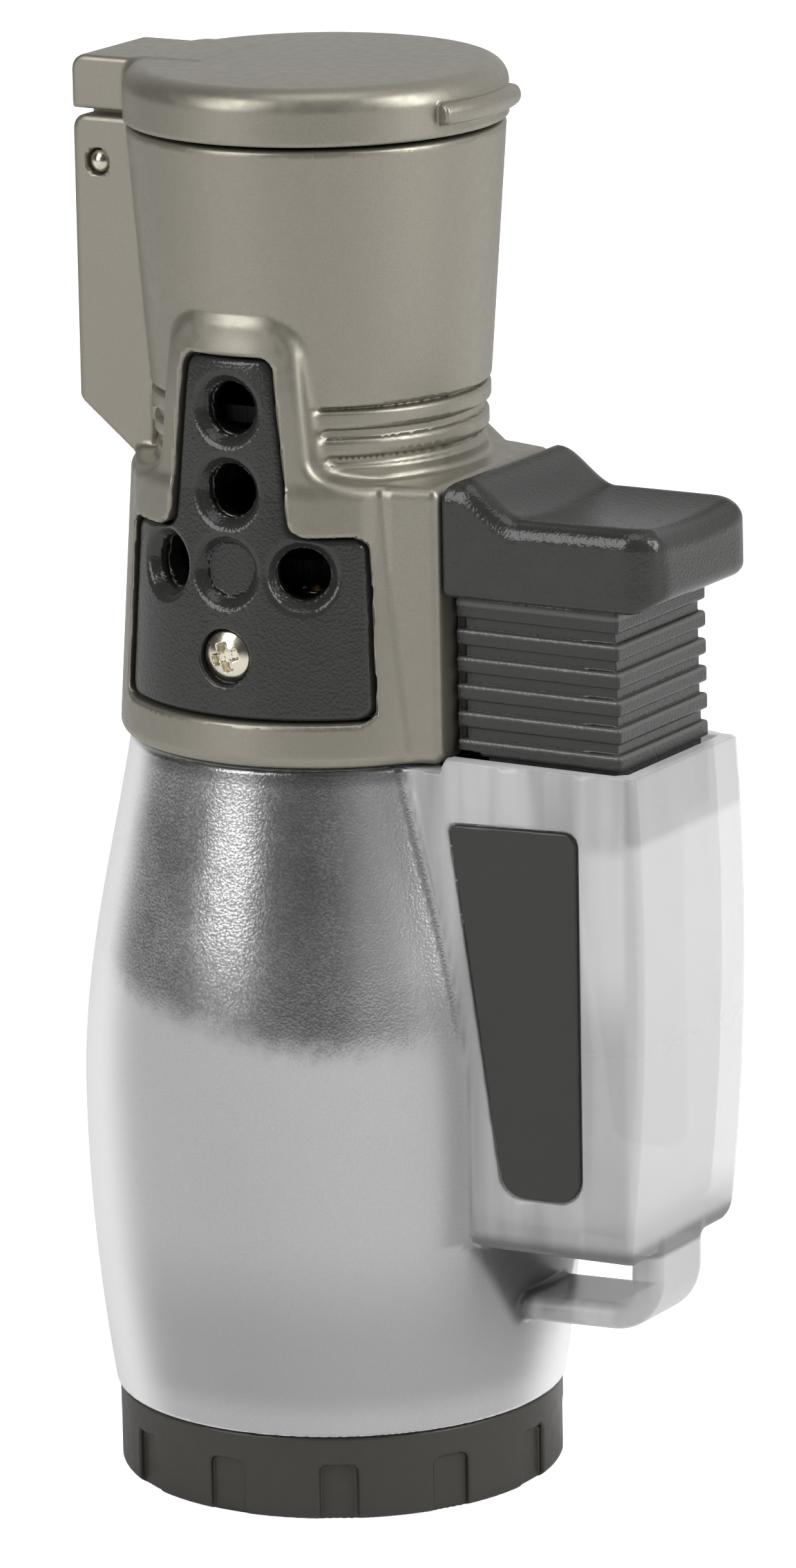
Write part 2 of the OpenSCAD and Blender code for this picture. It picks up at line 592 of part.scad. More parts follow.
module manifold() color(brass) difference() {
    union() {
        rod(manifold_r, manifold_z, jet_z);
        rod(2.4, valve_spring_top + 0.02, manifold_z + 0.1);
    }
    rod(valve_bore, 57, 60.6);
}
module at_nozzles() for (a = [90, 210, 330]) rotate([0, 0, a]) translate([nozzle_ring, 0, 0]) children();
module jet_nozzles() color(steel) at_nozzles() difference() {
    rod(nozzle_r, jet_z + 0.01, jet_top);
    rod(jet_bore, jet_z - 0.5, jet_top - 6);
    rod(jet_mouth, jet_top - 6.5, jet_top + 1);
}
module burner_plate() color(steel) difference() {
    rod(burner_r, ledge_z + 0.01, ledge_z + 1);
    at_nozzles() rod(nozzle_r + 0.04, 60, 70);
    rod(insulator_r + 0.04, 60, 70, electrode_x, electrode_y);
}
module electrode_insulator() color("white") difference() {
    rod(insulator_r, 61.95, 69.5, electrode_x, electrode_y);
    rod(wire_bore, 62.6, 70, electrode_x, electrode_y);
}
module electrode() color(nickel) rod(0.35, 62.7, 72.6, electrode_x, electrode_y);

housing();
chassis();
chassis_screws();
front_vent_plate();
rear_vent_plate();
plate_screws();
hinge_pin();
lid();
lid_seal();
lid_plunger();
lid_spring();
tank_body();
tank_floor();
front_badge();
rear_badge();
adjuster_dial();
dial_seal();
regulator_sleeve();
metering_screw();
fill_valve_body();
fill_valve_stem();
fill_valve_spring();
thumb_pad();
ribbed_slider();
piezo_body();
piezo_plunger();
piezo_spring();
ignition_wire();
gas_lever();
lever_pin();
valve_body();
valve_stem();
valve_seal();
valve_spring();
feed_tube();
manifold();
jet_nozzles();
burner_plate();
electrode_insulator();
electrode();
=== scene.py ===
"""Looks of the pocket jet-flame lighter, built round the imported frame.

Each visible shell is a solid described by a signed distance in millimetres (negative inside), turned into
an even quad mesh, pushed exactly onto its surface and given its true normals. Working parts inside keep
their CAD shape, apart from three of the springs. Z is up, the thumb lever is on +X, the hinge on -X, and the
front vent plate faces -Y.
"""
import json
from itertools import product
from math import atan2, cos, pi, radians, sin, sqrt

import bpy
import numpy as np
from mathutils import Matrix, Vector

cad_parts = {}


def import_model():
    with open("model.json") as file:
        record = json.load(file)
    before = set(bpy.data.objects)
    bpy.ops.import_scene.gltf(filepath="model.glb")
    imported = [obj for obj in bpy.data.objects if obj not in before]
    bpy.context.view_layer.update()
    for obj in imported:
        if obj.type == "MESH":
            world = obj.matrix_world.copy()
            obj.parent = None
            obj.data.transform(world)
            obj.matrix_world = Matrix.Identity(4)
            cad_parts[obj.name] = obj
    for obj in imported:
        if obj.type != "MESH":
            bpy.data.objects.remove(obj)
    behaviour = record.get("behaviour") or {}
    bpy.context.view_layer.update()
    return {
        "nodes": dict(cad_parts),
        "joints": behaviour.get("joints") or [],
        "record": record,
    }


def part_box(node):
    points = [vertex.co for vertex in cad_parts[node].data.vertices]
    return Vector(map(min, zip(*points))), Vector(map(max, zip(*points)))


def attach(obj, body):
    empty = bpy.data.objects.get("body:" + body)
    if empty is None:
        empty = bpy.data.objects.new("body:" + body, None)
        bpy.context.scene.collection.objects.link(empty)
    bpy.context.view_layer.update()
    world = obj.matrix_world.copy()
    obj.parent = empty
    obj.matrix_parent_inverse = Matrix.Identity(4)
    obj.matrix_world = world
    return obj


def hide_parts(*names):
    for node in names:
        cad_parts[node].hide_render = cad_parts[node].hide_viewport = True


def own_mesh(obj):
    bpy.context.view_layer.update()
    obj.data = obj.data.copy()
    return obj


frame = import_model()
MM = 0.001
FINE = 1.0


def span(node, axis):
    """Lowest and highest coordinate of a CAD node along an axis, in millimetres."""
    low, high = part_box(node)
    return low[axis] / MM, high[axis] / MM


# ---- signed distances ----

def poly(px, py, pts):
    """Signed distance to a closed outline of (x, y) points."""
    px, py = np.asarray(px, np.float32), np.asarray(py, np.float32)
    shape = np.broadcast(px, py).shape
    best = np.full(shape, 1e9, np.float32)
    inside = np.zeros(shape, bool)
    for (ax, ay), (bx, by) in zip(pts, pts[1:] + pts[:1]):
        ex, ey = bx - ax, by - ay
        wx, wy = px - ax, py - ay
        t = np.clip((wx * ex + wy * ey) / (ex * ex + ey * ey + 1e-12), 0, 1)
        best = np.minimum(best, (wx - ex * t) ** 2 + (wy - ey * t) ** 2)
        low, high = wy >= 0, py < by
        left = ex * wy > ey * wx
        inside ^= (low & high & left) | ~(low | high | left)
    return np.where(inside, -1, 1) * np.sqrt(best)


def rounded(corners, steps=12):
    """Outline points from (x, y, corner radius) corners, each corner a true arc."""
    out = []
    for i, (bx, by, r) in enumerate(corners):
        b = np.array([bx, by], float)
        if r <= 0:
            out.append((bx, by))
            continue
        u = np.array(corners[i - 1][:2], float) - b
        v = np.array(corners[(i + 1) % len(corners)][:2], float) - b
        u, v = u / np.linalg.norm(u), v / np.linalg.norm(v)
        half = np.arccos(np.clip(u @ v, -1, 1)) / 2
        centre = b + (u + v) / np.linalg.norm(u + v) * r / sin(half)
        p, q = b + u * r / np.tan(half) - centre, b + v * r / np.tan(half) - centre
        start, turn = atan2(p[1], p[0]), atan2(p[0] * q[1] - p[1] * q[0], p @ q)
        for k in range(steps + 1):
            a = start + turn * k / steps
            out.append((centre[0] + r * cos(a), centre[1] + r * sin(a)))
    return out


def mirrored(half):
    """The whole outline from its +X half, given from top to bottom."""
    return half + [(-x, y, r) for x, y, r in reversed(half)]


def union(a, b, r=0.0):
    """Both solids, with a concave fillet of radius r where they meet."""
    if r <= 0:
        return np.minimum(a, b)
    return np.maximum(r, np.minimum(a, b)) - np.hypot(np.maximum(r - a, 0), np.maximum(r - b, 0))


def common(a, b, r=0.0):
    """Where both solids are, with the edge between them rounded to radius r."""
    if r <= 0:
        return np.maximum(a, b)
    return np.minimum(-r, np.maximum(a, b)) + np.hypot(np.maximum(r + a, 0), np.maximum(r + b, 0))


def minus(a, b, r=0.0):
    """Solid a without solid b, the rim rounded to radius r."""
    return common(a, -b, r)


def slab(v, low, high):
    return np.maximum(low - v, v - high)


def box2(u, v, half_u, half_v, r):
    """Rounded rectangle about the origin."""
    du, dv = np.abs(u) - half_u + r, np.abs(v) - half_v + r
    return np.hypot(np.maximum(du, 0), np.maximum(dv, 0)) + np.minimum(np.maximum(du, dv), 0) - r


def ease(t):
    t = np.clip(t, 0, 1)
    return t * t * (3 - 2 * t)


# ---- meshing ----

def surface_net(shape, low, high, step):
    """Quads of the surface shape(x, y, z) = 0 in a box, as (points, quads)."""
    axes = [np.arange(a - 1.5 * step, b + 2.5 * step, step, dtype=np.float32) for a, b in zip(low, high)]
    size = tuple(len(a) for a in axes)
    value = shape(axes[0][:, None, None], axes[1][None, :, None], axes[2][None, None, :])
    value = np.ascontiguousarray(np.broadcast_to(value, size).astype(np.float32))
    inside = value < 0
    cells = tuple(n - 1 for n in size)
    filled = np.zeros(cells, np.uint8)
    for i, j, k in product((0, 1), repeat=3):
        filled += inside[i:i + cells[0], j:j + cells[1], k:k + cells[2]]
    active = (filled > 0) & (filled < 8)
    index = np.argwhere(active)
    number = np.full(cells, -1, np.int64)
    number[active] = np.arange(len(index))
    total, count = np.zeros((len(index), 3)), np.zeros((len(index), 1))
    for axis in range(3):
        unit = np.eye(3, dtype=int)[axis]
        others = [a for a in range(3) if a != axis]
        for m, n in product((0, 1), repeat=2):
            start = index.copy()
            start[:, others[0]] += m
            start[:, others[1]] += n
            end = start + unit
            va, vb = value[tuple(start.T)], value[tuple(end.T)]
            hit = (va < 0) != (vb < 0)
            t = np.where(hit, va / np.where(hit, va - vb, 1), 0)
            total[hit] += (start + t[:, None] * unit)[hit]
            count[hit] += 1
    origin = np.array([a[0] for a in axes], float)
    points = origin + step * total / count
    quads = []
    for axis in range(3):
        b, c = (axis + 1) % 3, (axis + 2) % 3
        first = [slice(1, -1)] * 3
        second = list(first)
        first[axis], second[axis] = slice(0, -1), slice(1, None)
        flip = inside[tuple(first)] != inside[tuple(second)]
        where = np.argwhere(flip) + np.array([0 if a == axis else 1 for a in range(3)])
        outward = inside[tuple(where.T)]
        ring = []
        for db, dc in ((-1, -1), (0, -1), (0, 0), (-1, 0)):
            cell = where.copy()
            cell[:, b] += db
            cell[:, c] += dc
            ring.append(number[tuple(cell.T)])
        ring = np.stack(ring, 1)
        quads.append(np.where(outward[:, None], ring, ring[:, ::-1]))
    return points, np.concatenate(quads)


def gradient(shape, p, reach):
    """Unit normals of the solid's surface at points p."""
    g = np.empty_like(p)
    for axis in range(3):
        d = np.zeros(3)
        d[axis] = reach
        g[:, axis] = shape(*(p + d).T) - shape(*(p - d).T)
    return g / (np.linalg.norm(g, axis=1, keepdims=True) + 1e-12)


def mesh_solid(name, shape, low, high, step):
    """An object for the solid, its vertices pushed onto the true surface."""
    step *= FINE
    points, quads = surface_net(shape, low, high, step)
    for _ in range(3):
        d = np.clip(shape(*points.T), -0.5 * step, 0.5 * step)
        points -= gradient(shape, points, 0.1 * step) * d[:, None]
    obj = make_object(name, points * MM, quads)
    co = np.empty(len(obj.data.vertices) * 3, np.float32)
    obj.data.vertices.foreach_get("co", co)
    normals = gradient(shape, co.reshape(-1, 3).astype(float) / MM, 0.1 * step)
    obj.data.polygons.foreach_set("use_smooth", np.ones(len(obj.data.polygons), bool))
    obj.data.normals_split_custom_set_from_vertices(normals.tolist())
    return obj


def make_object(name, points, faces):
    mesh = bpy.data.meshes.new(name)
    corners = faces.shape[1]
    mesh.vertices.add(len(points))
    mesh.vertices.foreach_set("co", np.ascontiguousarray(points, np.float32).ravel())
    mesh.loops.add(faces.size)
    mesh.loops.foreach_set("vertex_index", np.ascontiguousarray(faces, np.int32).ravel())
    mesh.polygons.add(len(faces))
    mesh.polygons.foreach_set("loop_start", np.arange(0, faces.size, corners, dtype=np.int32))
    mesh.update(calc_edges=True)
    mesh.validate()
    obj = bpy.data.objects.new(name, mesh)
    bpy.context.scene.collection.objects.link(obj)
    return obj


# ---- sizes shared by several pieces, in millimetres ----

HOUSING_Z, RIM_Z = span("housing", 2)
TANK_TOP = HOUSING_Z - 0.2
LID_Z = RIM_Z + 0.25
TOP_Z = span("lid", 2)[1]
LID_R = span("lid", 1)[1]
SPINE_X = span("lid", 0)[0]
PIN_X, PIN_Z = [v / MM for v in (frame["joints"][0]["pos_m"][0], frame["joints"][0]["pos_m"][2])]
SPINE_W = 3.75
FACE_X = 12.0                              # the housing's flat face, behind the thumb pad
CHAMBER_R, CHAMBER_TOP = 9.3, 61.9         # bores inside the housing, below the cup
NECK_BORE_R, NECK_BORE_TOP = 8.4, 66.9
PAD_Z = span("thumb_pad", 2)[0]
DIAL_R = span("adjuster_dial", 0)[1]
DIAL_TOP = 5.35
FUEL_Z, FUEL_RISE = 30.0, 3.6              # the fuel line, and how far it climbs towards the hinge side
SCREW_Z = 53.1
VENTS = [(68.0, 0.0), (63.06, 0.0), (58.2, radians(24.4)), (58.2, -radians(24.4))]
DIMPLE_Z = 58.28
VENT_R = 1.62
PLATE_SINK, PLATE_T, PLATE_GAP = 0.3, 1.2, 0.18
SCREW_HOLE_R, HEAD_RECESS_R, HEAD_RECESS = 1.0, 1.72, 0.8
BELLY_R, BELLY_Z = 15.35, 24               # the tank's widest ring
BARREL_R = span("tank_body", 1)[1]
CAMERA_AZIMUTH = radians(31.3)
BEZEL = mirrored([(4.35, 73.5, 2.6), (5.2, 64.4, 1.5), (8.2, 63.0, 0), (8.2, 58, 0)])


def plate_outline(g):
    """The inverted T of a vent plate, grown by g."""
    return rounded(mirrored([(2.85 + g, 71.1 + g, 0.9), (3.95 + g, 60.4 + g, 1.2),
                             (7.95 + g, 60.4 + g, 0.9), (8.5 + g, 49.5 - g, 0.9)]))


def face_r(z):
    """Radius of the housing's side, carried up through the bezel, which leans in towards the cup."""
    rise = z - HOUSING_Z
    return 12.65 - 0.064 * rise + 0.034 * np.maximum(z - 63, 0) - 0.0159 * np.maximum(z - 68, 0) ** 2


def cup_r(z):
    return 10.3 + 0.0737 * (z - 68.3)


def cup_bore_r(z):
    return 9.2 + 1.15 * np.clip((z - 70) / 13, 0, 1)


def from_axis(x, y, z, height, turn):
    """Distance from a line that runs out from the axis at a height, turned from the front or rear by turn."""
    across = x * cos(turn) - np.abs(y) * sin(turn)
    return np.hypot(across, z - height)


# ---- housing ----

def housing_body(x, y, z):
    r, ay = np.hypot(x, y), np.abs(y)
    side = 0.998 * (r - face_r(z))
    front_box = poly(x, ay, [(-2, -3), (-2, 7.7), (9.2, 7.75), (14, 6.39), (14, -3)])
    low = common(union(side, front_box, 0.15), x - FACE_X, 0.45)
    low = common(low, z - 63.55, 0.7)
    low = common(low, HOUSING_Z - z, 0.8)
    neck = common(r - 9.8, slab(z, 60, 70))
    for ring_z, ring_r, half in ((67.35, 10.25, 0.58), (65.65, 10.12, 0.56), (64.1, 10.0, 0.5)):
        neck = union(neck, box2(r - ring_r + 0.8, z - ring_z, 0.8, half, 0.28), 0.1)
    cup = common(0.997 * (r - cup_r(z)), z - RIM_Z, 0.3)
    cup = common(cup, 68.12 - z, 0.22)
    body = union(low, union(neck, cup, 0.1), 0.45)
    bezel = common(poly(x, z, rounded(BEZEL)), side, 0.5)
    body = union(body, common(bezel, 3 - ay), 0.5)
    outline = rounded([(SPINE_X, 66.1, 0.7), (SPINE_X, RIM_Z - 0.1, 0.9), (-9.6, RIM_Z - 0.1, 0),
                       (-9.6, 62.6, 0), (-10.97, 62.9, 0.5)])
    spine = common(poly(x, z, outline), ay - SPINE_W, 0.32)
    return union(body, spine, 0.3)


def housing_shape(x, y, z):
    r, ay = np.hypot(x, y), np.abs(y)
    body = housing_body(x, y, z)
    pocket = common(common(poly(x, z, plate_outline(PLATE_GAP)), face_r(z) - 1.52 - r), 3 - ay)
    body = minus(body, pocket, 0.22)
    bore = np.minimum(common(r - CHAMBER_R, z - CHAMBER_TOP), common(r - NECK_BORE_R, z - NECK_BORE_TOP))
    bore = np.minimum(bore, common(r - cup_bore_r(z), NECK_BORE_TOP - z))
    body = minus(body, bore, 0.2)
    for height, turn in VENTS:
        body = minus(body, common(from_axis(x, y, z, height, turn) - VENT_R, 6 - ay))
    body = minus(body, common(from_axis(x, y, z, SCREW_Z, 0.0) - SCREW_HOLE_R, 6 - ay))
    slider_way = common(common(7 - x, ay - 4.2), z - 57.3)
    hinge_slot = common(common(x + 11.75, ay - 2.3), 79.1 - z)
    body = minus(minus(body, slider_way, 0.15), hinge_slot, 0.15)
    pin = np.hypot(x - PIN_X, z - PIN_Z)
    body = minus(body, np.minimum(pin - 0.52, common(pin - 0.83, 3.02 - ay)), 0.08)
    plunger_bore = common(np.hypot(x + 12.9, y) - 1.15, 68.7 - z)
    return minus(body, plunger_bore)


# ---- vent plates and their screws ----

def plate_shape(x, y, z):
    """The front vent plate."""
    r = np.hypot(x, y)
    depth = face_r(z) - PLATE_SINK - r
    plate = common(poly(x, z, plate_outline(0)), -depth, 0.32)
    plate = common(plate, depth - PLATE_T)
    plate = common(plate, y + 3)
    for height, turn in VENTS + [(DIMPLE_Z, 0.0)]:
        off = from_axis(x, y, z, height, turn)
        dish = common(0.8 * (off - 2.2 + 0.75 * depth), depth - 0.7)
        bore = off - VENT_R if height != DIMPLE_Z else common(off - VENT_R, depth - 0.85)
        plate = minus(plate, np.minimum(dish, bore), 0.22)
    off = from_axis(x, y, z, SCREW_Z, 0.0)
    plate = minus(plate, common(off - HEAD_RECESS_R, depth - HEAD_RECESS), 0.15)
    return minus(plate, off - SCREW_HOLE_R)


def screw_shape(u, v, w):
    """A pan-head cross screw: w runs out along its axis, and its head's underside is at w = 0."""
    q = np.hypot(u, v)
    dome = np.hypot(q, w + 2.05) - 2.83
    head = common(common(q - 1.6, dome, 0.12), -w)
    screw = union(head, common(q - 0.9, slab(w, -4.4, 0.1)))
    for a, b in ((u, v), (v, u)):
        taper = 0.26 + 0.22 * np.clip(w - 0.78 + 0.45, -0.3, 0.5)
        arm = common(common(np.abs(a) - taper, np.abs(b) - 0.95 - 0.35 * (w - 0.78), 0.08), 0.22 - w)
        screw = minus(screw, arm, 0.07)
    return screw


# ---- lid ----

def lid_shape(x, y, z):
    r, ay = np.hypot(x, y), np.abs(y)
    crown = TOP_Z - 0.0012 * r ** 2
    disc = common(r - LID_R, z - crown, 1.35)
    disc = common(disc, LID_Z - z, 0.18)
    outline = rounded([(SPINE_X, LID_Z, 0.15), (SPINE_X, 87.3, 0.95), (-6, 87.3, 0), (-6, LID_Z, 0)])
    block = common(poly(x, z, outline), ay - SPINE_W, 0.3)
    lid = union(disc, block, 0.45)
    angle = np.arctan2(ay, x)
    tab = box2(r - 11.6, z - 85.45, 0.9, 0.66, 0.58)
    tab = common(tab, r * (angle - radians(20.5)), 0.2)
    lid = union(lid, tab, 0.12)
    tongue = rounded([(-14.5, 84.5, 0), (-14.5, PIN_Z + 1.8, 0.2), (PIN_X - 0.62, PIN_Z + 0.95, 0.3),
                      (PIN_X - 0.62, PIN_Z, 0), (-12.03, PIN_Z - 0.2, 0), (-12.2, PIN_Z + 1.8, 0),
                      (-12.2, 84.5, 0)])
    cam = np.hypot(x - PIN_X - 0.193, z - PIN_Z + 0.23) - 1.05
    lid = np.minimum(lid, common(np.minimum(poly(x, z, tongue), cam), ay - 2.2, 0.12))
    lid = minus(lid, common(r - 9.85, z - LID_Z - 0.8), 0.1)
    return minus(lid, np.hypot(x - PIN_X, z - PIN_Z) - 0.55 + 0 * y)


def pin_shape(x, y, z):
    """The hinge pin, its heads domed."""
    q, ay = np.hypot(x - PIN_X, z - PIN_Z), np.abs(y)
    head = common(common(q - 0.75, np.hypot(q, ay - 2.9) - 0.85, 0.08), 3.02 - ay)
    return np.minimum(common(q - 0.5, ay - 3.3), head)


# ---- thumb lever ----

PAD_NOSE = 26.4
RIB_TOP, RIB_PITCH, RIB_GROOVE = PAD_Z - 1.4, 1.68, 0.68
RIBS = 6


def pad_top(x, y):
    """Height of the pad's top: a rise by the housing, then a dished thumb rest."""
    ridge = 64.0 - 2.3 * ease((x - 13.3) / 3.9)
    rest = 0.1 * (x - 17) / 7
    dish = 0.45 * ease((x - 14.5) / 3) * ((y / 6) ** 2 - 0.35)
    return ridge + np.clip(rest, 0, 0.15) + dish


def pad_shape(x, y, z):
    ay = np.abs(y)
    plan = poly(x, ay, rounded([(FACE_X + 0.06, -3, 0), (FACE_X + 0.06, 6.7, 0.35), (PAD_NOSE, 6.3, 2.5),
                                (PAD_NOSE, -3, 0)]))
    nose = PAD_NOSE - 0.2 * ease((z - 57.5) / 3)
    plan = common(plan, x - nose, 0.3)
    steepness = 1 / sqrt(1.5) + 0.1
    top = (z - pad_top(x, y)) * np.where((x > 13.3) & (x < 17.2), steepness, 1.0)
    pad = common(plan, top, 1.4)
    under = PAD_Z - z + 0.9 * ease((x - 24.4) / 2.4)
    pad = common(pad, under, 0.5)
    hollow = box2(x - 18.4, y, 3.4, 3.4, 0.4)
    return minus(pad, common(hollow, z - 60.6), 0.1)


def slider_shape(x, y, z):
    ay = np.abs(y)
    front = 23.3 + 0.15 * np.clip((PAD_Z - z) / 9.7, 0, 1)
    outer = common(poly(x, ay, [(12.35, -3), (12.35, 5.5), (30, 5.42), (30, -3)]), x - front, 0.22)
    outer = common(outer, np.where(z < 47.4, 13.85 - x, -9.0))
    sunk = outer + 0.36
    for i in range(RIBS):
        mid = RIB_TOP - i * RIB_PITCH - RIB_GROOVE / 2
        groove = common(np.abs(z - mid) - RIB_GROOVE / 2, -sunk)
        outer = minus(outer, groove, 0.2)
    outer = common(outer, slab(z, 42.9, PAD_Z - 0.02), 0.15)
    outer = minus(outer, common(common(x - 22, ay - 4.3, 0.3), z - 55.7))
    flange = common(common(slab(x, 12.12, 13.1), ay - 5), slab(z, 47.6, PAD_Z - 0.02))
    flange = minus(flange, common(ay - 4.3, z - 53.5))
    tongue = common(common(slab(x, 10, 14.9), ay - 1.2, 0.1), slab(z, 53.77, PAD_Z - 0.02))
    nose = common(np.hypot(x - 10, z - 53.97) - 0.6, ay - 1.2, 0.1)
    body = np.minimum(np.minimum(outer, flange), np.minimum(tongue, nose))
    return minus(body, common(common(slab(x, 15, 21.8), ay - 3.3), 50 - z))


# ---- tank ----

def tank_r(z):
    """The tank's outer radius: a shallow belly, and a shoulder that draws in below the housing."""
    above = BELLY_R - 2.1 * (1 - np.cos(pi * (z - BELLY_Z) / 32))
    return np.where(z >= BELLY_Z, above, BELLY_R - 0.00419 * (z - BELLY_Z) ** 2)


def wing_front(z):
    return 25.3 - 0.0034 * (z - 35.5) ** 2


def wing_half(x):
    return 7.5 - 0.0617 * (x - 9.4)


WING_BOTTOM, WING_TOP = 16.8, 47.1
LOOP_OUTER = rounded([(10, 11.1, 0), (24.15, 11.7, 3.5), (24.2, 17.5, 0), (10, 17.5, 0)])
LOOP_HOLE = rounded([(10, 12.8, 0), (22, 13.3, 1.2), (22.1, 16.9, 0), (10, 16.9, 0)])


def badge_outline(g):
    return rounded([(12.6 + g, 43.2 - g, 0.5), (21 - g, 43.4 - g, 0.8), (21 - g, 20.5 + g, 1.5),
                    (15.9 + g, 20.5 + g, 1.5)])


def tank_shape(x, y, z):
    r, ay = np.hypot(x, y), np.abs(y)
    barrel = r - tank_r(z)
    wall = 0.998 * (ay - wing_half(x))
    wing = common(common(wall, WING_BOTTOM - z, 1.3), x - wing_front(z), 0.4)
    wing = common(wing, -x)
    top = np.where(x < 12.15, z - TANK_TOP, z - WING_TOP)
    loop = common(minus(poly(x, z, LOOP_OUTER), poly(x, z, LOOP_HOLE)), ay - 3, 0.85)
    body = common(barrel, slab(z, DIAL_TOP, TANK_TOP), 0.2)
    body = union(body, common(wing, top, 0.12), 0.25)
    body = union(body, loop, 0.35)
    body = np.minimum(body, common(r - 12.4, slab(z, 1.4, 6)))
    cavity = common(common(ay - 5.75, x - wing_front(z) + 1.1, 0.5), 18.3 - z, 0.6)
    cavity = common(common(cavity, -barrel, 0.3), 11 - x)
    body = minus(body, cavity, 0.12)
    gas = common(barrel + 1.3, slab(z, 6.4, TANK_TOP - 1.5), 0.5)
    gas = np.minimum(gas, common(r - 11.3, z - 6.9))
    gas = np.minimum(gas, common(r - 3.02, 40 - z))
    body = minus(body, gas)
    recess = common(poly(x, z, badge_outline(-0.1)), -0.4 - wall)
    return minus(body, recess, 0.15)


def badge_shape(x, y, z):
    """The front badge. Its face is plain."""
    depth = -0.998 * (-y - wing_half(x))
    plate = common(poly(x, z, badge_outline(0)), 0.05 - depth, 0.12)
    return common(plate, depth - 0.38)


NOTCHES = 12


def dial_shape(x, y, z):
    r = np.hypot(x, y)
    dial = common(r - DIAL_R, -z, 0.55)
    dial = common(dial, z - DIAL_TOP + 0.08, 0.15)
    dial = minus(dial, common(r - 12.48, 1.2 - z))
    dial = union(dial, common(r - 4, slab(z, 1, 7.6)))
    turn = np.arctan2(y, x)
    sector = 2 * pi / NOTCHES
    turn = (turn + sector / 2) % sector - sector / 2
    across, out = r * np.sin(turn), r * np.cos(turn)
    notch = common(box2(across, z - 1.0, 1.175, 2.5, 0.45), DIAL_R - 0.42 - out)
    dial = minus(dial, notch, 0.12)
    seal = common(slab(r, 3.2, 5), slab(z, 4.18, 5.02))
    dial = minus(dial, seal)
    return minus(dial, r - 2.42 + 0 * z)


# ---- materials ----

class Look:
    """A node material being built. Textures lie in the shared frame; sizes and depths are in millimetres.

    The base colour and roughness it starts from are its plain values, under the textures that replace them.
    """

    def __init__(self, name, base, roughness, metallic=0.0):
        self.material = bpy.data.materials.new(name)
        self.material.use_nodes = True
        self.tree = self.material.node_tree
        self.surface = self.tree.nodes["Principled BSDF"]
        place = self.add("ShaderNodeTexCoord").outputs["Object"]
        self.place = self.add("ShaderNodeVectorMath", {"operation": "SCALE"}, Vector=place, Scale=1 / MM)
        self.place = self.place.outputs["Vector"]
        self.set(Base_Color=(*base, 1), Roughness=roughness, Metallic=metallic)

    def add(self, kind, settings=None, **inputs):
        node = self.tree.nodes.new(kind)
        for key, value in (settings or {}).items():
            setattr(node, key, value)
        for key, value in inputs.items():
            self.plug(node.inputs[key.replace("_", " ")], value)
        return node

    def plug(self, socket, value):
        if isinstance(value, bpy.types.NodeSocket):
            self.tree.links.new(value, socket)
        else:
            socket.default_value = value

    def set(self, **inputs):
        for key, value in inputs.items():
            self.plug(self.surface.inputs[key.replace("_", " ")], value)

    def math(self, operation, *values):
        node = self.add("ShaderNodeMath", {"operation": operation})
        for socket, value in zip(node.inputs, values):
            self.plug(socket, value)
        return node.outputs["Value"]

    def stretched(self, x=1.0, y=1.0, z=1.0):
        """Coordinates that make a texture longer by these amounts."""
        by = (1 / x, 1 / y, 1 / z)
        node = self.add("ShaderNodeVectorMath", {"operation": "MULTIPLY"})
        self.plug(node.inputs[0], self.place)
        self.plug(node.inputs[1], by)
        return node.outputs["Vector"]

    def noise(self, size, detail=2.0, vector=None):
        """Cloudy 0 to 1 pattern, its blobs about this size."""
        node = self.add("ShaderNodeTexNoise", Vector=vector or self.place, Scale=1 / size, Detail=detail)
        return node.outputs["Fac"]

    def cells(self, size):
        """Distance to the nearest cell centre, for leather-like grain."""
        node = self.add("ShaderNodeTexVoronoi", {"feature": "SMOOTH_F1"}, Vector=self.place, Scale=1 / size)
        return node.outputs["Distance"]

    def ramp(self, value, low, high, start=0.0, end=1.0):
        """Maps value from start..end to low..high, smoothly and within limits."""
        node = self.add("ShaderNodeMapRange", {"interpolation_type": "SMOOTHSTEP"}, Value=value,
                        From_Min=start, From_Max=end, To_Min=low, To_Max=high)
        return node.outputs["Result"]

    def mix(self, fac, a, b):
        """Colour a where fac is 0 and b where it is 1."""
        node = self.add("ShaderNodeMix", {"data_type": "RGBA"}, Factor=fac)
        for socket, value in ((node.inputs[6], a), (node.inputs[7], b)):
            self.plug(socket, value if isinstance(value, bpy.types.NodeSocket) else (*value, 1))
        return node.outputs[2]

    def bump(self, height, depth):
        """Adds relief of this depth on top of any already there."""
        before = self.surface.inputs["Normal"].links
        extra = {"Normal": before[0].from_socket} if before else {}
        node = self.add("ShaderNodeBump", Height=height, Distance=depth * MM, **extra)
        self.set(Normal=node.outputs["Normal"])

    def marked(self, name):
        """What mark() stored on the mesh under this name, or 0 on a piece that has no such mark."""
        return self.add("ShaderNodeAttribute", {"attribute_name": name}).outputs["Fac"]

    def dot(self, place, direction):
        """How far a place lies along a direction."""
        node = self.add("ShaderNodeVectorMath", {"operation": "DOT_PRODUCT"})
        self.plug(node.inputs[0], place)
        self.plug(node.inputs[1], direction)
        return node.outputs["Value"]

    def facing(self):
        """0 where the surface faces the eye, 1 where it is seen edge on."""
        return self.add("ShaderNodeLayerWeight", Blend=0.5).outputs["Facing"]


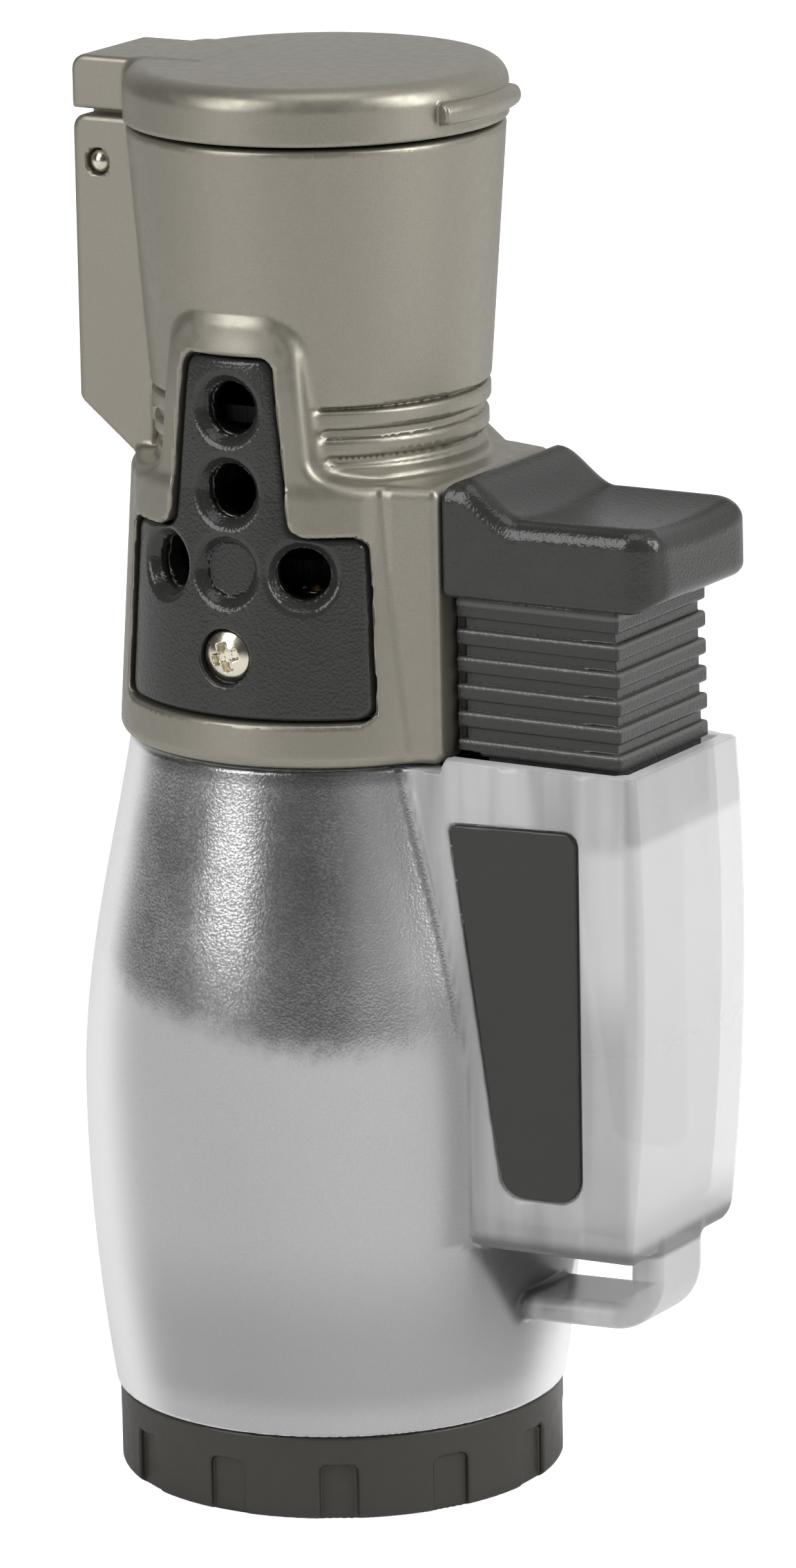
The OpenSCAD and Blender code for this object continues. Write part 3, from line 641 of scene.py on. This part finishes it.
def housing_paint():
    """Satin metallic paint outside. Inside the housing and its vents, where the mesh says so, the bare
    casting is painted near black as shade.
    """
    look = Look("housing_paint", (0.29, 0.275, 0.225), 0.4, 0.7)
    flake = look.noise(0.08, 1)
    tone = look.mix(look.ramp(flake, 0, 1, 0.3, 0.7), (0.285, 0.267, 0.224), (0.33, 0.31, 0.26))
    tone = look.mix(look.ramp(look.noise(9, 3), 0, 0.4, 0.35, 0.65), tone, (0.295, 0.276, 0.232))
    # Painted shade: near black inside the housing and its vents.
    look.set(Base_Color=look.mix(look.marked("inside"), tone, (0.03, 0.028, 0.025)),
             Roughness=look.ramp(look.noise(0.7, 3), 0.33, 0.41, 0.3, 0.7))
    look.bump(look.noise(0.1, 2), 0.0015)
    look.bump(look.noise(2, 2), 0.0012)
    return look.material


def black_plastic():
    """Fine-grained plastic: glossy sides, a dull top, and a painted highlight along the ribs' top edges,
    where the mesh is marked.
    """
    look = Look("black_plastic", (0.02, 0.02, 0.019), 0.42)
    grain = look.cells(0.17)
    tone = look.mix(look.noise(1.2, 3), (0.027, 0.027, 0.026), (0.037, 0.037, 0.035))
    # Painted highlight: paler along the ribs' top edges.
    tone = look.mix(look.marked("painted_glint"), tone, (0.13, 0.13, 0.125))
    normal = look.add("ShaderNodeNewGeometry").outputs["Normal"]
    up = look.add("ShaderNodeSeparateXYZ", Vector=normal).outputs["Z"]
    look.set(Base_Color=tone, Roughness=look.ramp(grain, 0.16, 0.26, 0.1, 0.8),
             Specular_IOR_Level=look.ramp(up, 0.45, 0.06, 0.8, 0.98))
    look.bump(grain, 0.02)
    return look.material


def badge_inlay():
    look = Look("badge_inlay", (0.03, 0.029, 0.026), 0.36)
    look.set(Roughness=look.ramp(look.noise(1.5, 3), 0.28, 0.4),
             Base_Color=look.mix(look.noise(0.3, 2), (0.024, 0.0235, 0.021), (0.03, 0.029, 0.026)))
    look.bump(look.noise(0.2, 2), 0.004)
    return look.material


def dial_plastic():
    look = Look("dial_plastic", (0.028, 0.026, 0.02), 0.42)
    look.set(Base_Color=look.mix(look.noise(0.5, 3), (0.031, 0.029, 0.023), (0.039, 0.036, 0.029)),
             Roughness=look.ramp(look.noise(0.8, 3), 0.36, 0.5))
    look.bump(look.noise(0.14, 3), 0.01)
    return look.material


def grey(value):
    return (value, value, value)


EDGE_WHITE = grey(0.95)


def near_line(look, across, centre, amount, full, gone):
    """amount within full of a vertical line down the barrel, fading to 0 at gone."""
    away = look.math("ABSOLUTE", look.math("ADD", across, -centre))
    return look.ramp(away, amount, 0, full, gone)


def fuel_level(look, across, height, speck):
    """Height above a flat fuel line: ragged, and lower where the line climbs towards the hinge side."""
    left = look.math("MINIMUM", across, 0)
    climb = look.math("MULTIPLY", look.math("MULTIPLY", left, left), -FUEL_RISE)
    level = look.math("ADD", height, climb)
    ragged = look.math("MULTIPLY", look.noise(0.9, 3), 1.3)
    return look.math("ADD", level, look.math("ADD", ragged, look.math("MULTIPLY", speck, 1.6)))


def fuel_tone(look, height):
    """The barrel where fuel wets it, with a darker band above the base."""
    tone = look.mix(look.ramp(look.noise(0.1, 3), 0, 1, 0.3, 0.7), grey(0.44), grey(0.49))
    band = look.math("MULTIPLY", look.ramp(height, 0, 1, 6.2, 8.2), look.ramp(height, 0.55, 0, 11, 19))
    return look.mix(band, tone, grey(0.27))


def gas_tone(look, across, height, level, speck):
    """The barrel above the fuel: grainy and patchy, a painted dark stripe and a painted pale reflection down
    it, fixed across the view, and dark at both ends.
    """
    tone = look.mix(look.ramp(speck, 0, 1, 0.35, 0.7), grey(0.36), grey(0.6))
    patches = look.noise(3, 3, look.stretched(z=1.6))
    tone = look.mix(look.ramp(patches, 0, 0.3, 0.42, 0.62), tone, grey(0.16))
    # Painted reflections: a dark stripe, then a pale one where a lamp would show.
    tone = look.mix(near_line(look, across, -0.15, 0.4, 0.06, 0.2), tone, grey(0.14))
    tone = look.mix(near_line(look, across, 0.3, 0.85, 0.14, 0.32), tone, grey(0.72))
    tone = look.mix(look.ramp(level, 0.4, 0, FUEL_Z + 2.6, FUEL_Z + 7), tone, grey(0.16))
    return look.mix(look.ramp(height, 0, 0.5, 45.2, 45.9), tone, grey(0.1))


def wing_tone(look, x, height):
    """The wing: streaks and what lies behind them on its sides, a band near the top of its outer face."""
    streak = look.noise(2.2, 2, look.stretched(z=12))
    side = look.mix(look.ramp(streak, 0, 1, 0.35, 0.65), grey(0.52), grey(0.8))
    side = look.mix(look.ramp(height, 0.4, 0, 18, 33), side, grey(0.62))
    beyond_badge = look.mix(look.ramp(height, 0, 1, 30, 36), grey(0.6), grey(0.92))
    beyond_badge = look.mix(look.ramp(height, 0, 1, 41.8, 43), beyond_badge, side)
    side = look.mix(look.ramp(x, 0, 0.85, 21.1, 21.5), side, beyond_badge)
    end = look.mix(look.ramp(height, 0, 0.75, 42.6, 43.4), grey(0.72), grey(0.42))
    return look.mix(look.ramp(x, 0, 1, 23.9, 24.5), side, end)


def smoke_plastic():
    """Smoke grey plastic, frosted inside: pale where fuel wets it, mirror-like and grainy in the gas above
    it, and thin enough in the wing to see through. Edge on, it carries light and looks white."""
    look = Look("smoke_plastic", grey(0.4), 0.3)
    facing, speck = look.facing(), look.noise(0.16, 1)
    place = look.add("ShaderNodeSeparateXYZ", Vector=look.place).outputs
    across = look.dot(look.place, (cos(CAMERA_AZIMUTH) / BARREL_R, sin(CAMERA_AZIMUTH) / BARREL_R, 0))
    level = fuel_level(look, across, place["Z"], speck)
    gas = look.ramp(level, 0, 1, FUEL_Z + 0.2, FUEL_Z + 2.6)
    wing, shade = look.marked("wing"), look.marked("shade")
    edge = look.math("ADD", look.ramp(facing, 0, 1, 0.3, 0.76), look.math("MULTIPLY", gas, -0.12))
    edge = look.ramp(edge, 0, 1)
    barrel = look.mix(gas, fuel_tone(look, place["Z"]), gas_tone(look, across, place["Z"], level, speck))
    barrel = look.mix(edge, barrel, EDGE_WHITE)
    side = look.mix(look.ramp(facing, 0, 1, 0.4, 0.85), wing_tone(look, place["X"], place["Z"]), EDGE_WHITE)
    barrel_gas = look.math("MULTIPLY", gas, look.math("SUBTRACT", 1.0, wing))
    look.set(Base_Color=look.mix(shade, look.mix(wing, barrel, side), grey(0.05)),
             Metallic=look.math("MULTIPLY", barrel_gas, look.math("SUBTRACT", 0.85, edge)),
             Roughness=look.ramp(gas, 0.3, 0.26),
             Alpha=look.math("ADD", look.ramp(wing, 0.97, 0.63), look.math("MULTIPLY", shade, 0.3)))
    look.bump(look.math("MULTIPLY", speck, look.ramp(gas, 0.1, 1)), 0.015)
    look.bump(look.noise(3.5, 2), 0.03)
    return look.material


def metal(name, base, roughness, size=0.4, lay=(1, 1, 1)):
    """Bare or plated metal, its roughness and fine relief following a pattern stretched along the lay."""
    look = Look(name, base, roughness, 1.0)
    pattern = look.noise(size, 3, look.stretched(*lay))
    worn = tuple(0.8 * v for v in base)
    look.set(Base_Color=look.mix(look.ramp(look.noise(1.5, 3), 0, 1, 0.35, 0.7), base, worn),
             Roughness=look.ramp(pattern, 0.75 * roughness, 1.35 * roughness, 0.25, 0.75))
    look.bump(pattern, 0.008)
    return look.material


def moulded(name, base, roughness, size, depth):
    """Rubber, glaze or a cable sleeve: one colour with slight mottling and a fine skin."""
    look = Look(name, base, roughness)
    skin = look.noise(size, 3)
    dark, pale = tuple(0.8 * v for v in base), tuple(1.15 * v for v in base)
    look.set(Base_Color=look.mix(skin, dark, pale),
             Roughness=look.ramp(skin, 0.85 * roughness, 1.15 * roughness, 0.3, 0.7))
    look.bump(skin, depth)
    return look.material


LOOKS = {
    "housing_paint": housing_paint(),
    "black_plastic": black_plastic(),
    "badge_inlay": badge_inlay(),
    "dial_plastic": dial_plastic(),
    "smoke_plastic": smoke_plastic(),
    "screw_nickel": metal("screw_nickel", (0.8, 0.75, 0.62), 0.2),
    # frame_steel is near black: partly the frame's dark steel, partly painted shade for the inside seen
    # through the vents.
    "frame_steel": metal("frame_steel", (0.012, 0.012, 0.012), 0.6, 0.15, (1, 1, 14)),
    "spring_steel": metal("spring_steel", (0.58, 0.58, 0.6), 0.26, 0.1, (4, 4, 1)),
    "brass": metal("brass", (0.78, 0.57, 0.27), 0.24, 0.12, (8, 8, 1)),
    "rubber_black": moulded("rubber_black", (0.022, 0.022, 0.022), 0.6, 0.15, 0.012),
    # The sleeve black and the white ceramic dark grey: painted shade, so the inside seen through the vents
    # stays dark.
    "wire_sleeve": moulded("wire_sleeve", (0.035, 0.03, 0.03), 0.45, 0.3, 0.006),
    "ceramic_white": moulded("ceramic_white", (0.12, 0.11, 0.095), 0.45, 0.8, 0.004),
}
NODE_SLOT = {part["node"]: part["material_slot"] for part in frame["record"]["subparts"]}
BODY_OF = {node: body for body, nodes in frame["record"]["behaviour"]["bodies"].items() for node in nodes}


def dress(obj, slot):
    obj.data.materials.clear()
    obj.data.materials.append(LOOKS[slot])


def stand_for(obj, node):
    """Shows a finished piece instead of its node, on the same body and with the same finish."""
    dress(obj, NODE_SLOT[node])
    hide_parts(node)
    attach(obj, BODY_OF[node])
    return obj


def shell(name, node, shape, step):
    """A piece from a solid, sampled over its CAD node's box."""
    low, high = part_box(node)
    obj = mesh_solid(name, shape, [v / MM for v in low], [v / MM for v in high], step)
    return stand_for(obj, node)


# ---- visible shells ----

def behind(shape):
    """The same solid on the rear side."""
    return lambda x, y, z: shape(x, -y, z)


def mark(obj, name, amount):
    """Stores amount(x, y, z) on each point, for the piece's material."""
    co = np.empty(len(obj.data.vertices) * 3, np.float32)
    obj.data.vertices.foreach_get("co", co)
    values = amount(*(co.reshape(-1, 3).T / MM)).astype(np.float32)
    obj.data.attributes.new(name, "FLOAT", "POINT").data.foreach_set("value", values)


def housing_inside_shade(x, y, z):
    """1 inside the housing and in its vents, 0 on the paint: where painted shade darkens the bare casting.
    The cup's wall gets a little less of it towards the rim.
    """
    inner = np.where(z < CHAMBER_TOP, CHAMBER_R, np.where(z < NECK_BORE_TOP, NECK_BORE_R, cup_bore_r(z)))
    inside = (np.hypot(x, y) < inner + 0.2) & (z < RIM_Z - 0.5)
    for height, turn in VENTS:
        inside |= (from_axis(x, y, z, height, turn) < VENT_R + 0.1) & (x < 9)
    return inside * (1 - 0.25 * ease((z - 70) / 4))


def on_wing(x, y, z):
    """0 on the tank's barrel and 1 out on its wing."""
    return ease((np.hypot(x, y) - tank_r(z) - 0.15) / 0.5) * (x > 0) * (z > 11)


def under_wing(x, y, z):
    """Where the tank shades itself: the wing's lower edge, the loop, and the corners against the barrel."""
    out, ay = np.hypot(x, y) - tank_r(z), np.abs(y)
    lip = (0.3 * ease((20.6 - z) / 2.5) + 0.55 * ease((18.3 - z) / 0.9)) * ease((z - 16.3) / 0.4)
    seam = 0.6 * ease(1 - np.abs(out - 0.3) / 0.3) * (z > 17)
    strip = 0.35 * ease((9.4 - ay) / 1.5) * ease((0.4 - out) / 0.3) * (z > 17)
    reach = 3.6 + 0.66 * (z - 11)
    band = ease((17.3 - z) / 0.6) * ease((z - 10.7) / 0.8)
    corner = 0.85 * ease((reach - ay) / 1.1) * band * ease((1.5 - out) / 1.2)
    loop = 0.3 * ease((out - 0.3) / 0.8) * (z < 17)
    return np.maximum.reduce([lip * (out > 0.2), corner, loop, strip, seam]) * (x > 8)


def rib_edge_glint(x, y, z):
    """1 along the top edge of each rib, where a highlight is painted."""
    below = (RIB_TOP - RIB_GROOVE - z) % RIB_PITCH
    return ease(1 - np.abs(below - 0.1) / 0.2)


mark(shell("housing_shell", "housing", housing_shape, 0.26), "inside", housing_inside_shade)
shell("lid_cap", "lid", lid_shape, 0.2)
shell("peened_hinge_pin", "hinge_pin", pin_shape, 0.06)
shell("front_plate_grained", "front_vent_plate", plate_shape, 0.16)
shell("rear_plate_grained", "rear_vent_plate", behind(plate_shape), 0.16)
shell("thumb_pad_grained", "thumb_pad", pad_shape, 0.2)
mark(shell("ribbed_slider_moulded", "ribbed_slider", slider_shape, 0.14), "painted_glint", rib_edge_glint)
shell("front_badge_inlay", "front_badge", badge_shape, 0.14)
shell("rear_badge_inlay", "rear_badge", behind(badge_shape), 0.14)
shell("dial_cup", "adjuster_dial", dial_shape, 0.22)
tank = shell("tank_shell", "tank_body", tank_shape, 0.3)
mark(tank, "wing", on_wing)
mark(tank, "shade", under_wing)


def plate_screws():
    """Both plate screws, one mesh: the front one's axis runs out along -Y."""
    head_seat = float(face_r(SCREW_Z)) - PLATE_SINK - HEAD_RECESS

    def shape(x, y, z):
        turn = radians(16)
        u = x * cos(turn) + (z - SCREW_Z) * sin(turn)
        v = (z - SCREW_Z) * cos(turn) - x * sin(turn)
        return screw_shape(u, v, np.abs(y) - head_seat)

    return shell("pan_head_screws", "plate_screws", shape, 0.08)


plate_screws()


def spring(name, node, wire, turns):
    """A round-wire coil with closed ends that fills its node's box. Sizes are in millimetres."""
    low, high = (np.array(corner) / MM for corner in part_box(node))
    radius = (high[1] - low[1]) / 2 - wire
    height = high[2] - low[2] - 2 * wire
    steps, sides = int(28 * (turns + 2) / FINE), 10
    i, j = np.meshgrid(np.arange(steps + 1), np.arange(sides), indexing="ij")
    turn = 2 * pi * (turns + 2) * i / steps
    lift = np.clip((i / steps * (turns + 2) - 0.9) / (turns + 0.2), 0, 1)
    around = 2 * pi * j / sides
    thickness = wire * np.sin(pi * np.clip(np.minimum(i, steps - i) / 2, 0, 1) / 2)
    reach = radius + thickness * np.cos(around)
    points = np.stack([(low[0] + high[0]) / 2 + reach * np.cos(turn),
                       (low[1] + high[1]) / 2 + reach * np.sin(turn),
                       low[2] + wire + height * lift + thickness * np.sin(around)], -1)
    near, beside = i[:-1] * sides + j[:-1], i[:-1] * sides + (j[:-1] + 1) % sides
    faces = np.stack([near, near + sides, beside + sides, beside], -1)
    obj = make_object(name, points.reshape(-1, 3) * MM, faces.reshape(-1, 4))
    obj.data.polygons.foreach_set("use_smooth", np.ones(len(obj.data.polygons), bool))
    stand_for(obj, node)
    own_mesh(obj)


spring("piezo_coil", "piezo_spring", 0.22, 4)
spring("valve_coil", "valve_spring", 0.15, 4)
spring("refill_valve_coil", "fill_valve_spring", 0.15, 5)

VENT_SHADE_PARTS = ("burner_plate", "manifold")      # shown in the near black frame steel, as painted shade where they show through the vents

for name, node in frame["nodes"].items():
    dress(node, "frame_steel" if name in VENT_SHADE_PARTS else NODE_SLOT[name])


# ---- stage, lights and camera ----

CAMERA_TILT, CAMERA_ROLL = radians(13.886), radians(1.182)
CAMERA_DISTANCE = 0.55
AIM = Vector((0, 0, 0.0427))
BACKDROP, ROOM = 0.6, 0.08                 # reflected brightness behind the object on its right, and opposite
BACKDROP_SIDE, GLOW_SIDE = radians(158), radians(150)
WHITE = 1.05                               # what the camera sees behind the object


def heading(azimuth, elevation):
    """Unit vector from the object: azimuth 0 is -Y and 90 is +X, in radians."""
    return Vector((sin(azimuth) * cos(elevation), -cos(azimuth) * cos(elevation), sin(elevation)))


def camera():
    data = bpy.data.cameras.new("camera")
    data.sensor_width, data.lens = 36, 206.9
    data.shift_x = 0.04347
    data.clip_start, data.clip_end = 0.05, 20
    obj = bpy.data.objects.new("camera", data)
    bpy.context.scene.collection.objects.link(obj)
    back = heading(CAMERA_AZIMUTH, CAMERA_TILT)
    right = Vector((cos(CAMERA_AZIMUTH), sin(CAMERA_AZIMUTH), 0))
    up = back.cross(right)
    across = right * cos(CAMERA_ROLL) - up * sin(CAMERA_ROLL)
    above = right * sin(CAMERA_ROLL) + up * cos(CAMERA_ROLL)
    turned = Matrix((across, above, back)).transposed().to_4x4()
    obj.matrix_world = Matrix.Translation(AIM + back * CAMERA_DISTANCE) @ turned
    bpy.context.scene.camera = obj


def softbox(name, azimuth, elevation, distance, width, height, power):
    """An area light that faces the object."""
    data = bpy.data.lights.new(name, "AREA")
    data.shape, data.size, data.size_y, data.energy = "RECTANGLE", width, height, power
    obj = bpy.data.objects.new(name, data)
    bpy.context.scene.collection.objects.link(obj)
    away = heading(radians(azimuth), radians(elevation))
    obj.location = AIM + away * distance
    obj.rotation_mode = "QUATERNION"
    obj.rotation_quaternion = away.to_track_quat("Z", "Y")
    obj.visible_camera = False


def world():
    """White backdrop; in reflections, a room that is bright behind the object and dim behind the camera."""
    made = bpy.data.worlds.new("studio")
    made.use_nodes = True
    tree = made.node_tree
    background = tree.nodes["Background"]
    background.inputs["Color"].default_value = (1, 1, 1, 1)
    place = tree.nodes.new("ShaderNodeTexCoord")
    along = tree.nodes.new("ShaderNodeVectorMath")
    along.operation = "DOT_PRODUCT"
    along.inputs[1].default_value = heading(BACKDROP_SIDE, 0)
    room = tree.nodes.new("ShaderNodeMapRange")
    room.inputs["From Min"].default_value, room.inputs["From Max"].default_value = -0.3, 0.6
    room.inputs["To Min"].default_value, room.inputs["To Max"].default_value = ROOM, BACKDROP
    path, pick = tree.nodes.new("ShaderNodeLightPath"), tree.nodes.new("ShaderNodeMix")
    pick.inputs["B"].default_value = WHITE
    tree.links.new(place.outputs["Generated"], along.inputs[0])
    tree.links.new(along.outputs["Value"], room.inputs["Value"])
    tree.links.new(path.outputs["Is Camera Ray"], pick.inputs["Factor"])
    tree.links.new(room.outputs["Result"], pick.inputs["A"])
    tree.links.new(pick.outputs["Result"], background.inputs["Strength"])
    bpy.context.scene.world = made


def floor():
    """A white sheet under the object: plain white to the camera, and a painted glow, brighter towards
    GLOW_SIDE, in the light it throws onto the object.
    """
    side = 3.0
    corners = np.array([(-side, -side, 0), (side, -side, 0), (side, side, 0), (-side, side, 0)])
    obj = make_object("floor", corners, np.array([(0, 1, 2, 3)]))
    look = Look("floor", (0.8, 0.8, 0.8), 0.9)
    seen = look.add("ShaderNodeLightPath").outputs["Is Camera Ray"]
    outward = look.add("ShaderNodeVectorMath", {"operation": "NORMALIZE"}, Vector=look.place)
    towards = look.dot(outward.outputs["Vector"], heading(GLOW_SIDE, 0))
    glow = look.ramp(towards, 0.08, 0.4, 0.9, 0.99)
    look.set(Base_Color=look.mix(look.noise(80, 3), (0.79, 0.79, 0.79), (0.81, 0.81, 0.81)),
             Emission_Color=(1, 1, 1, 1), Emission_Strength=look.ramp(seen, glow, 0.9))
    obj.data.materials.append(look.material)
    obj.location.z = -0.02 * MM


world()
floor()
softbox("left_box", azimuth=-24, elevation=30, distance=0.6, width=0.27, height=0.5, power=1.95)
softbox("right_box", azimuth=93, elevation=30, distance=0.6, width=0.2, height=0.5, power=2.2)
softbox("top_box", azimuth=31, elevation=80, distance=0.7, width=0.4, height=0.4, power=0.8)
camera()
bpy.context.scene.view_settings.view_transform = "Standard"
bpy.context.scene.cycles.use_denoising = True
